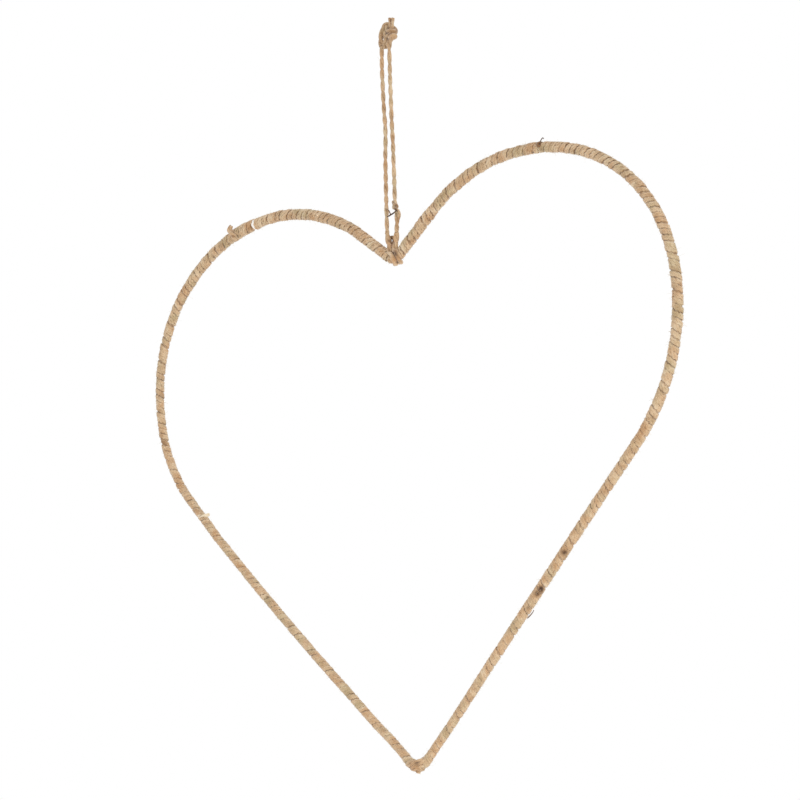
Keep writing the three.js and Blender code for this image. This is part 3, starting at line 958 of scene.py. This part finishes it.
# The stretch of twine that the turns of the top knot hold between them
INSIDE_KNOT = [(-0.7, 0.5, 0.5), (-0.6, 0.5, 4.0), (-0.1, 0.6, 8.0), (0.5, 0.8, 11.0), (1.2, 0.9, 13.2)]
SLACK_TWINE = 2.7  # diameter where the twine lies slack and swells
SPREAD_IN_KNOTS = 1.14  # how much wider its soft fibres make it there
KNOT_TWINE = 1.9  # diameter of the thinner twine of the small knot and the cut ends
HITCH_SPREAD = 1.6
HITCH_SHIFT = 0.3
HITCH_LEAN = 2.8
HITCH_LEAN_ANGLE = 40
HITCH_BITE = 0.9  # how deep the hitch sinks into the soft winding
STRAND_SPREAD = 2.6
SHOULDER_RISE = 5.6
SHOULDER_SPREAD = 2.05
SHOULDER_SHIFT = 0.55
SHOULDER_FRONT = 2.2
CROSSBAR_RISE = 11.7
CROSSBAR_BACK = 1.3
TURN_ANGLES = [42, 0, -45, -90, -135, -180, -222]


# Loose ends of twine and fibre, as points in millimetres, with their diameter and stain
LOOSE_ENDS = {
    "left_lobe_stub": (
        [(-108.3, -2.6, -86.6), (-110.3, -3.4, -84.0), (-112.1, -3.6, -81.9), (-113.4, -3.0, -79.8),
        (-113.2, -2.6, -78.3), (-112.5, -2.4, -77.3)], 3.0, 0.0,
    ),
    "right_lobe_knot": (
        [(95.0, -1.4, -80.2), (95.6, -2.2, -78.5), (96.7, -2.2, -77.2), (98.0, -1.8, -77.6),
        (98.2, -2.4, -79.0), (97.0, -3.0, -79.2), (96.6, -2.6, -77.8), (97.8, -2.2, -77.0)], 1.3, -1.2,
    ),
    "right_lobe_curl": (
        [(97.4, -2.4, -77.9), (98.8, -2.6, -76.3), (99.5, -2.8, -75.7), (100.2, -2.8, -75.4),
        (100.3, -2.4, -75.9)], 0.55, -2.0,
    ),
    "lower_left_end": (
        [(-145.4, -0.2, -239.0), (-143.6, -1.9, -239.8), (-141.0, -2.6, -240.2), (-138.6, -2.6, -240.2),
        (-137.0, -2.0, -239.9), (-136.0, -1.4, -239.8)], 1.7, 0.9,
    ),
    "right_arm_fibre": (
        [(73.0, -1.6, -321.0), (74.8, -2.0, -320.0), (76.0, -2.2, -319.2), (76.7, -2.0, -318.4),
        (76.9, -1.4, -317.4)], 0.6, -1.6,
    ),
    "knot_dark_fibre": (
        [(5.2, -3.2, -93.8), (3.8, -3.6, -94.5), (2.3, -3.6, -95.2), (0.8, -3.4, -95.4),
        (-0.6, -3.0, -95.7), (-2.0, -2.6, -95.7)], 0.85, -3.0,
    ),
    "strand_fibre": (
        [(0.8, -3.4, -95.4), (0.1, -3.2, -94.0), (-0.8, -2.8, -92.6), (-2.2, -2.2, -91.6)], 0.6, -1.5,
    ),
}


def notch_at(shape, x):
    """Height of the winding's middle line, and its slope, at a distance sideways from the heart's axis."""
    bend, upper = shape.notch_bend / MM, shape.upper_slope
    reach = bend * math.sin(upper)
    slope = math.asin(abs(x) / bend) if abs(x) < reach else upper
    centre = -shape.hook_rise / MM + bend / math.cos(upper)
    return centre - bend * math.cos(slope) + max(0.0, abs(x) - reach) * math.tan(upper), slope


def hitch_turn(shape, side):
    """One turn of the hitch round the notch, from over its front, under it and up behind."""
    grip = (shape.notch_thickness / MM + SLACK_TWINE) / 2 - HITCH_BITE
    turn = []
    for degrees in TURN_ANGLES:
        angle = math.radians(degrees)
        leaning = HITCH_LEAN * math.cos(angle + math.radians(HITCH_LEAN_ANGLE))
        x = HITCH_SHIFT + side * HITCH_SPREAD + leaning
        z, slope = notch_at(shape, x)
        x += shape.axis_shift / MM
        turn.append((x, -grip * math.cos(angle), z + grip * math.sin(angle) / math.cos(slope)))
    return turn


def hitch_route(shape, twine):
    """From one strand's foot round the winding, across behind both strands, and to the other foot."""
    middle_z, axis_x = notch_at(shape, 0.0)[0], shape.axis_shift / MM
    bar_x, bar_z = axis_x + HITCH_SHIFT - HITCH_LEAN, middle_z + CROSSBAR_RISE
    shoulder_x, shoulder_z = axis_x + SHOULDER_SHIFT, middle_z + SHOULDER_RISE
    quarter, half = twine.twine / MM / 4, twine.twine / MM / 2
    return [
        LEFT_STRAND[0],
        (axis_x - STRAND_SPREAD, -CROSSBAR_BACK, bar_z - SLACK_TWINE),
        (shoulder_x - SHOULDER_SPREAD, -SHOULDER_FRONT, shoulder_z),
        *hitch_turn(shape, -1),
        (bar_x - HITCH_SPREAD, CROSSBAR_BACK + quarter, bar_z - half),
        (bar_x, CROSSBAR_BACK, bar_z),
        (bar_x + HITCH_SPREAD, CROSSBAR_BACK + quarter, bar_z - half),
        *hitch_turn(shape, 1)[::-1],
        (shoulder_x + SHOULDER_SPREAD, -SHOULDER_FRONT, shoulder_z),
        (axis_x + STRAND_SPREAD, -CROSSBAR_BACK, bar_z - SLACK_TWINE),
        RIGHT_STRAND[0],
    ]


def smooth_line(points, steps=10):
    """A smooth line through points in millimetres, as points in metres."""
    knots = [Vector(p) * MM for p in points]
    knots = [2 * knots[0] - knots[1], *knots, 2 * knots[-1] - knots[-2]]
    line = []
    for a, b, c, d in zip(knots, knots[1:], knots[2:], knots[3:]):
        for k in range(steps):
            t = k / steps
            bend, turn = 2 * a - 5 * b + 4 * c - d, 3 * b - a - 3 * c + d
            line.append(0.5 * (2 * b + (c - a) * t + bend * t**2 + turn * t**3))
    line.append(knots[-2])
    return line


def line_length(line):
    """The length of a line of points."""
    return sum((b - a).length for a, b in zip(line, line[1:]))


# Operators


def finished(piece):
    """A piece, attached to the one body."""
    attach(piece, BODY)
    return piece


def laid_twine(name, line, twine, material, diameter, seed, stain=0.0, smoothness=0.0):
    """A piece of two-ply twine along a line."""
    long = line_length(line)
    return baked(
        path_object(name + "_line", line),
        bpy.data.node_groups.get("Laid Twine") or laid_twine_tree(),
        {
            "Steps": max(12, round(long / TWINE_STEP)),
            "Diameter": diameter,
            "Twists": long / twine.lay,
            "Stain": stain,
            "Smoothness": smoothness,
            "Seed": seed,
            "Material": material,
        },
        name,
    )


class JUTE_HEART_OT_wind_ring(bpy.types.Operator):
    """Wind the heart-shaped ring with twine"""

    bl_idname = "jute_heart.wind_ring"
    bl_label = "Wind Ring"

    def execute(self, context):
        shape, twine = context.scene.jute_heart_shape, context.scene.jute_heart_twine
        outline = Outline(shape)
        shares = [k / OUTLINE_POINTS for k in range(OUTLINE_POINTS)]
        rows = [(winding_radius(shape, outline, s), stain_at(outline, s), smoothness_at(s)) for s in shares]
        places = [middle_at(outline, s) for s in shares]
        turns = round(outline.length / twine.pitch)
        tree = winding_tree()
        material = jute_material("wound_jute_twine", context.scene.jute_heart_colours)
        for quarter, name in enumerate(WINDING_QUARTERS):
            piece = baked(
                path_object(name + "_line", places, True, {"winding": rows}),
                tree,
                {
                    "Turns": float(turns),
                    "First Turn": turns / 4 * quarter,
                    "Turns Here": turns / 4,
                    "Strand Radius": twine.strand_radius,
                    "Strand Spread": twine.strand_spread,
                    "Gap Turn": round(GAP_SHARE * turns) + 0.25,
                    "Material": material,
                },
                name,
            )
            add_spots(piece.data, SPOTS)
            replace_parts(finished(piece), RING_NODE)

        turns_line = tip_turns_line(shape, outline)
        tip = laid_twine("tip_turns", turns_line, twine, material, TIP_TWINE, 71.0, smoothness=0.6)
        add_spots(tip.data, SPOTS)
        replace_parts(finished(tip), RING_NODE)
        core = finished(bare_core(shape, outline))
        core.data.materials.append(core_material(context.scene.jute_heart_colours.core))
        return {"FINISHED"}


class JUTE_HEART_OT_hang_loop(bpy.types.Operator):
    """Lay the hanging loop's strands, knots and hitch"""

    bl_idname = "jute_heart.hang_loop"
    bl_label = "Hang Loop"

    def execute(self, context):
        scene = context.scene
        shape, twine = scene.jute_heart_shape, scene.jute_heart_twine
        material = jute_material("loose_jute_twine", scene.jute_heart_colours, -0.1)
        even, slack, thin = twine.twine, SLACK_TWINE * SPREAD_IN_KNOTS * MM, KNOT_TWINE * MM
        routes = {
            "loop_left_strand": (LEFT_STRAND, even, 0.0),
            "loop_right_strand": (RIGHT_STRAND, even, 0.0),
            "loop_left_knot_turn": (LEFT_END_IN_KNOT, slack, -0.3),
            "loop_right_knot_turn": (RIGHT_END_IN_KNOT, slack, -0.2),
            "loop_inside_knot": (INSIDE_KNOT, even, 0.2),
            "loop_left_cut_end": (LEFT_CUT_END, thin, -0.2),
            "loop_right_cut_end": (RIGHT_CUT_END, thin, 0.0),
            "loop_small_knot": (SMALL_KNOT, thin, -0.2),
            "loop_hitch": (hitch_route(shape, twine), slack, 0.0),
        }
        lines = {name: smooth_line(points) for name, (points, _, _) in routes.items()}
        for number, (name, (_, thickness, stain)) in enumerate(routes.items()):
            piece = laid_twine(name, lines[name], twine, material, thickness, 3.0 + 5 * number, stain)
            # Painted shadow between the loop's strands and turns, and darker twine, from LOOP_SPOTS
            add_spots(piece.data, LOOP_SPOTS)
            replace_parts(finished(piece), LOOP_NODE)
        return {"FINISHED"}


class JUTE_HEART_OT_leave_ends(bpy.types.Operator):
    """Leave the loose ends of twine and the dark bits of fibre"""

    bl_idname = "jute_heart.leave_ends"
    bl_label = "Leave Loose Ends"

    def execute(self, context):
        scene = context.scene
        material = jute_material("cut_jute_ends", scene.jute_heart_colours)
        for number, (name, (points, diameter, stain)) in enumerate(LOOSE_ENDS.items()):
            line = smooth_line(points)
            piece = laid_twine(
                name, line, scene.jute_heart_twine, material, diameter * MM, 40.0 + number, stain
            )
            finished(piece)
        return {"FINISHED"}


class JUTE_HEART_OT_fray(bpy.types.Operator):
    """Raise the stray fibres that stand off the twine"""

    bl_idname = "jute_heart.fray"
    bl_label = "Raise Stray Fibres"

    def execute(self, context):
        scene = context.scene
        twine = scene.jute_heart_twine
        fibre = fibre_material(scene.jute_heart_colours.jute_pale)
        tree = fuzz_tree()
        coats = {
            "stray_fibres": {"Density": 30000.0, "Fibre Length": twine.fuzz_length, "Seed": 5},
            "nap": {
                "Density": 230000.0,
                "Fibre Length": twine.nap_length,
                "Fibre Radius": 0.045 * MM,
                "Bends": 2,
                "Seed": 8,
            },
        }
        for source in (*WINDING_QUARTERS, "loop_left_strand", "loop_right_strand", "tip_turns"):
            for coat, values in coats.items():
                base = bpy.data.objects.new("fuzz_base", scene.objects[source].data.copy())
                scene.collection.objects.link(base)
                fuzz = baked(base, tree, {**values, "Material": fibre}, f"{source}_{coat}")
                finished(fuzz)
        return {"FINISHED"}


# Stage

FOCAL_LENGTH = 108.0  # millimetres on a 36 mm sensor
CAMERA_DISTANCE = 1.272
CAMERA_AIM = (-1.0 * MM, -0.3 * MM, -196.6 * MM)
CAMERA_TURN = 36.52  # degrees round to the heart's right side
CAMERA_TILT = 12.16  # degrees that it looks up
CAMERA_ROLL = 2.65
KEY_POWER = 6.0
KEY_SIZE = 1.2
KEY_BACK, KEY_RIGHT, KEY_DOWN = 1.2, 0.8, 0.5  # from the point that the camera looks at
FLOOR_DROP = 1.5  # the floor, below the hook
FLOOR_SIZE = 12.0


def camera_axes():
    """The camera's right, forward and up directions."""
    turn = Matrix.Rotation(math.radians(-CAMERA_TURN), 3, "Z")
    tilt = Matrix.Rotation(math.radians(-CAMERA_TILT), 3, "X")
    roll = Matrix.Rotation(math.radians(-CAMERA_ROLL), 3, "Y")
    return roll @ tilt @ turn


class JUTE_HEART_OT_set_stage(bpy.types.Operator):
    """Set the floor, the soft studio light and the camera"""

    bl_idname = "jute_heart.set_stage"
    bl_label = "Set Stage"

    def execute(self, context):
        scene = context.scene
        right, forward, up = camera_axes()
        lens = bpy.data.cameras.new("photo_camera")
        lens.lens = FOCAL_LENGTH
        lens.sensor_width = 36.0
        camera = bpy.data.objects.new("photo_camera", lens)
        scene.collection.objects.link(camera)
        basis = Matrix((right, up, -forward)).transposed().to_4x4()
        basis.translation = Vector(CAMERA_AIM) - CAMERA_DISTANCE * forward
        camera.matrix_world = basis
        scene.camera = camera

        world = bpy.data.worlds.new("white_studio")
        world.use_nodes = True
        background = world.node_tree.nodes["Background"]
        background.inputs["Color"].default_value = (1.0, 1.0, 1.0, 1.0)
        background.inputs["Strength"].default_value = 1.0
        scene.world = world
        scene.view_settings.view_transform = "Standard"

        key = bpy.data.lights.new("soft_key", "AREA")
        key.energy = KEY_POWER
        key.size = KEY_SIZE
        lamp = bpy.data.objects.new("soft_key", key)
        place = Vector(CAMERA_AIM) - forward * KEY_BACK + right * KEY_RIGHT - up * KEY_DOWN
        lamp.matrix_world = Matrix.Translation(place) @ (
            (place - Vector(CAMERA_AIM)).to_track_quat("Z", "Y").to_matrix().to_4x4()
        )
        scene.collection.objects.link(lamp)

        half = FLOOR_SIZE / 2
        mesh = bpy.data.meshes.new("pale_floor")
        corners = [(-half, -half), (half, -half), (half, half), (-half, half)]
        mesh.from_pydata([(x, y, -FLOOR_DROP) for x, y in corners], [], [(0, 1, 2, 3)])
        floor = bpy.data.objects.new("pale_floor", mesh)
        scene.collection.objects.link(floor)
        mesh.materials.append(plaster_material(scene.jute_heart_colours.floor))
        return {"FINISHED"}


class JUTE_HEART_PT_panel(bpy.types.Panel):
    """The heart's sizes, colours and steps"""

    bl_label = "Jute Heart"
    bl_idname = "JUTE_HEART_PT_panel"
    bl_space_type = "VIEW_3D"
    bl_region_type = "UI"
    bl_category = "Jute Heart"

    def draw(self, context):
        for step in STEPS:
            self.layout.operator(step.bl_idname)
        for name, group in GROUPS.items():
            box = self.layout.box()
            for label in group.__annotations__:
                box.prop(getattr(context.scene, name), label)


GROUPS = {
    "jute_heart_shape": JuteHeartShape,
    "jute_heart_twine": JuteHeartTwine,
    "jute_heart_colours": JuteHeartColours,
}
STEPS = (
    JUTE_HEART_OT_set_stage,
    JUTE_HEART_OT_hang_loop,
    JUTE_HEART_OT_wind_ring,
    JUTE_HEART_OT_leave_ends,
    JUTE_HEART_OT_fray,
)
CLASSES = (*GROUPS.values(), *STEPS, JUTE_HEART_PT_panel)


def register():
    for cls in CLASSES:
        bpy.utils.register_class(cls)
    for name, group in GROUPS.items():
        setattr(bpy.types.Scene, name, bpy.props.PointerProperty(type=group))


def unregister():
    for name in GROUPS:
        delattr(bpy.types.Scene, name)
    for cls in reversed(CLASSES):
        bpy.utils.unregister_class(cls)


def main():
    register()
    bpy.ops.jute_heart.set_stage()
    bpy.ops.jute_heart.hang_loop()
    bpy.ops.jute_heart.wind_ring()
    bpy.ops.jute_heart.leave_ends()
    bpy.ops.jute_heart.fray()


if __name__ == "__main__":
    main()
